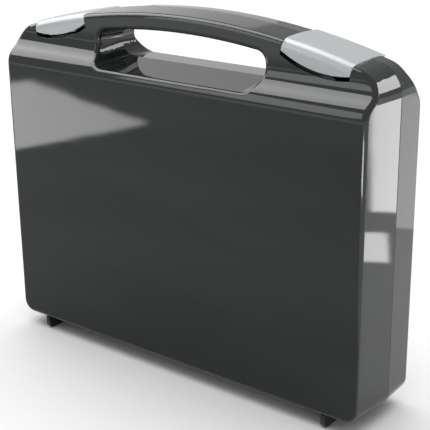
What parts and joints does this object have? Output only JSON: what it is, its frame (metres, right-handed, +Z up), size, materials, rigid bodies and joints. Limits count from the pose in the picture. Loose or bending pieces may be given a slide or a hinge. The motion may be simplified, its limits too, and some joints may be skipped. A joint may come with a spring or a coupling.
{
  "type": "tool case",
  "caption": "Upright hard-shell tool case with a moulded carrying handle, lever latches, a hinged lid and a divided lift-out tray.",
  "frame": {"origin": "centre of the outline, on the surface that the rib feet stand on", "axes": "+X across the width, -Y towards the deep base shell, +Y towards the lid, +Z up to the handle"},
  "size_m": [0.38, 0.081, 0.3145],
  "materials": {
    "shell": "glossy moulded, charcoal",
    "latch": "satin silver-grey",
    "tray": "fine spark texture, mid grey",
    "divider": "satin light grey",
    "pin": "drawn wire"
  },
  "bodies": {
    "base": {"base_shell": "shell", "hinge_pin_left": "pin", "hinge_pin_right": "pin"},
    "lid": {"lid_shell": "shell", "latch_pin_left": "pin", "latch_pin_right": "pin"},
    "latch_left": {"latch_left": "latch"},
    "latch_right": {"latch_right": "latch"},
    "tray": {"tray": "tray", "tray_divider_long": "divider", "tray_divider_upper_left": "divider", "tray_divider_upper_middle": "divider", "tray_divider_upper_right": "divider", "tray_divider_lower": "divider"}
  },
  "joints": [
    {"name": "lid_hinge", "type": "hinge", "parent": "base", "child": "lid", "pos_m": [0, 0.0055, 0.004], "axis": [-1, 0, 0], "range_deg": [0, 180]},
    {"name": "latch_left_pivot", "type": "hinge", "parent": "lid", "child": "latch_left", "pos_m": [-0.13331, 0.0173, 0.2936], "axis": [-0.9776, 0, -0.2105], "range_deg": [0, 70]},
    {"name": "latch_right_pivot", "type": "hinge", "parent": "lid", "child": "latch_right", "pos_m": [0.13331, 0.0173, 0.2936], "axis": [-0.9776, 0, 0.2105], "range_deg": [0, 70]},
    {"name": "tray_lift", "type": "slide", "parent": "base", "child": "tray", "axis": [0, 1, 0], "range_m": [0, 0.03]}
  ]
}
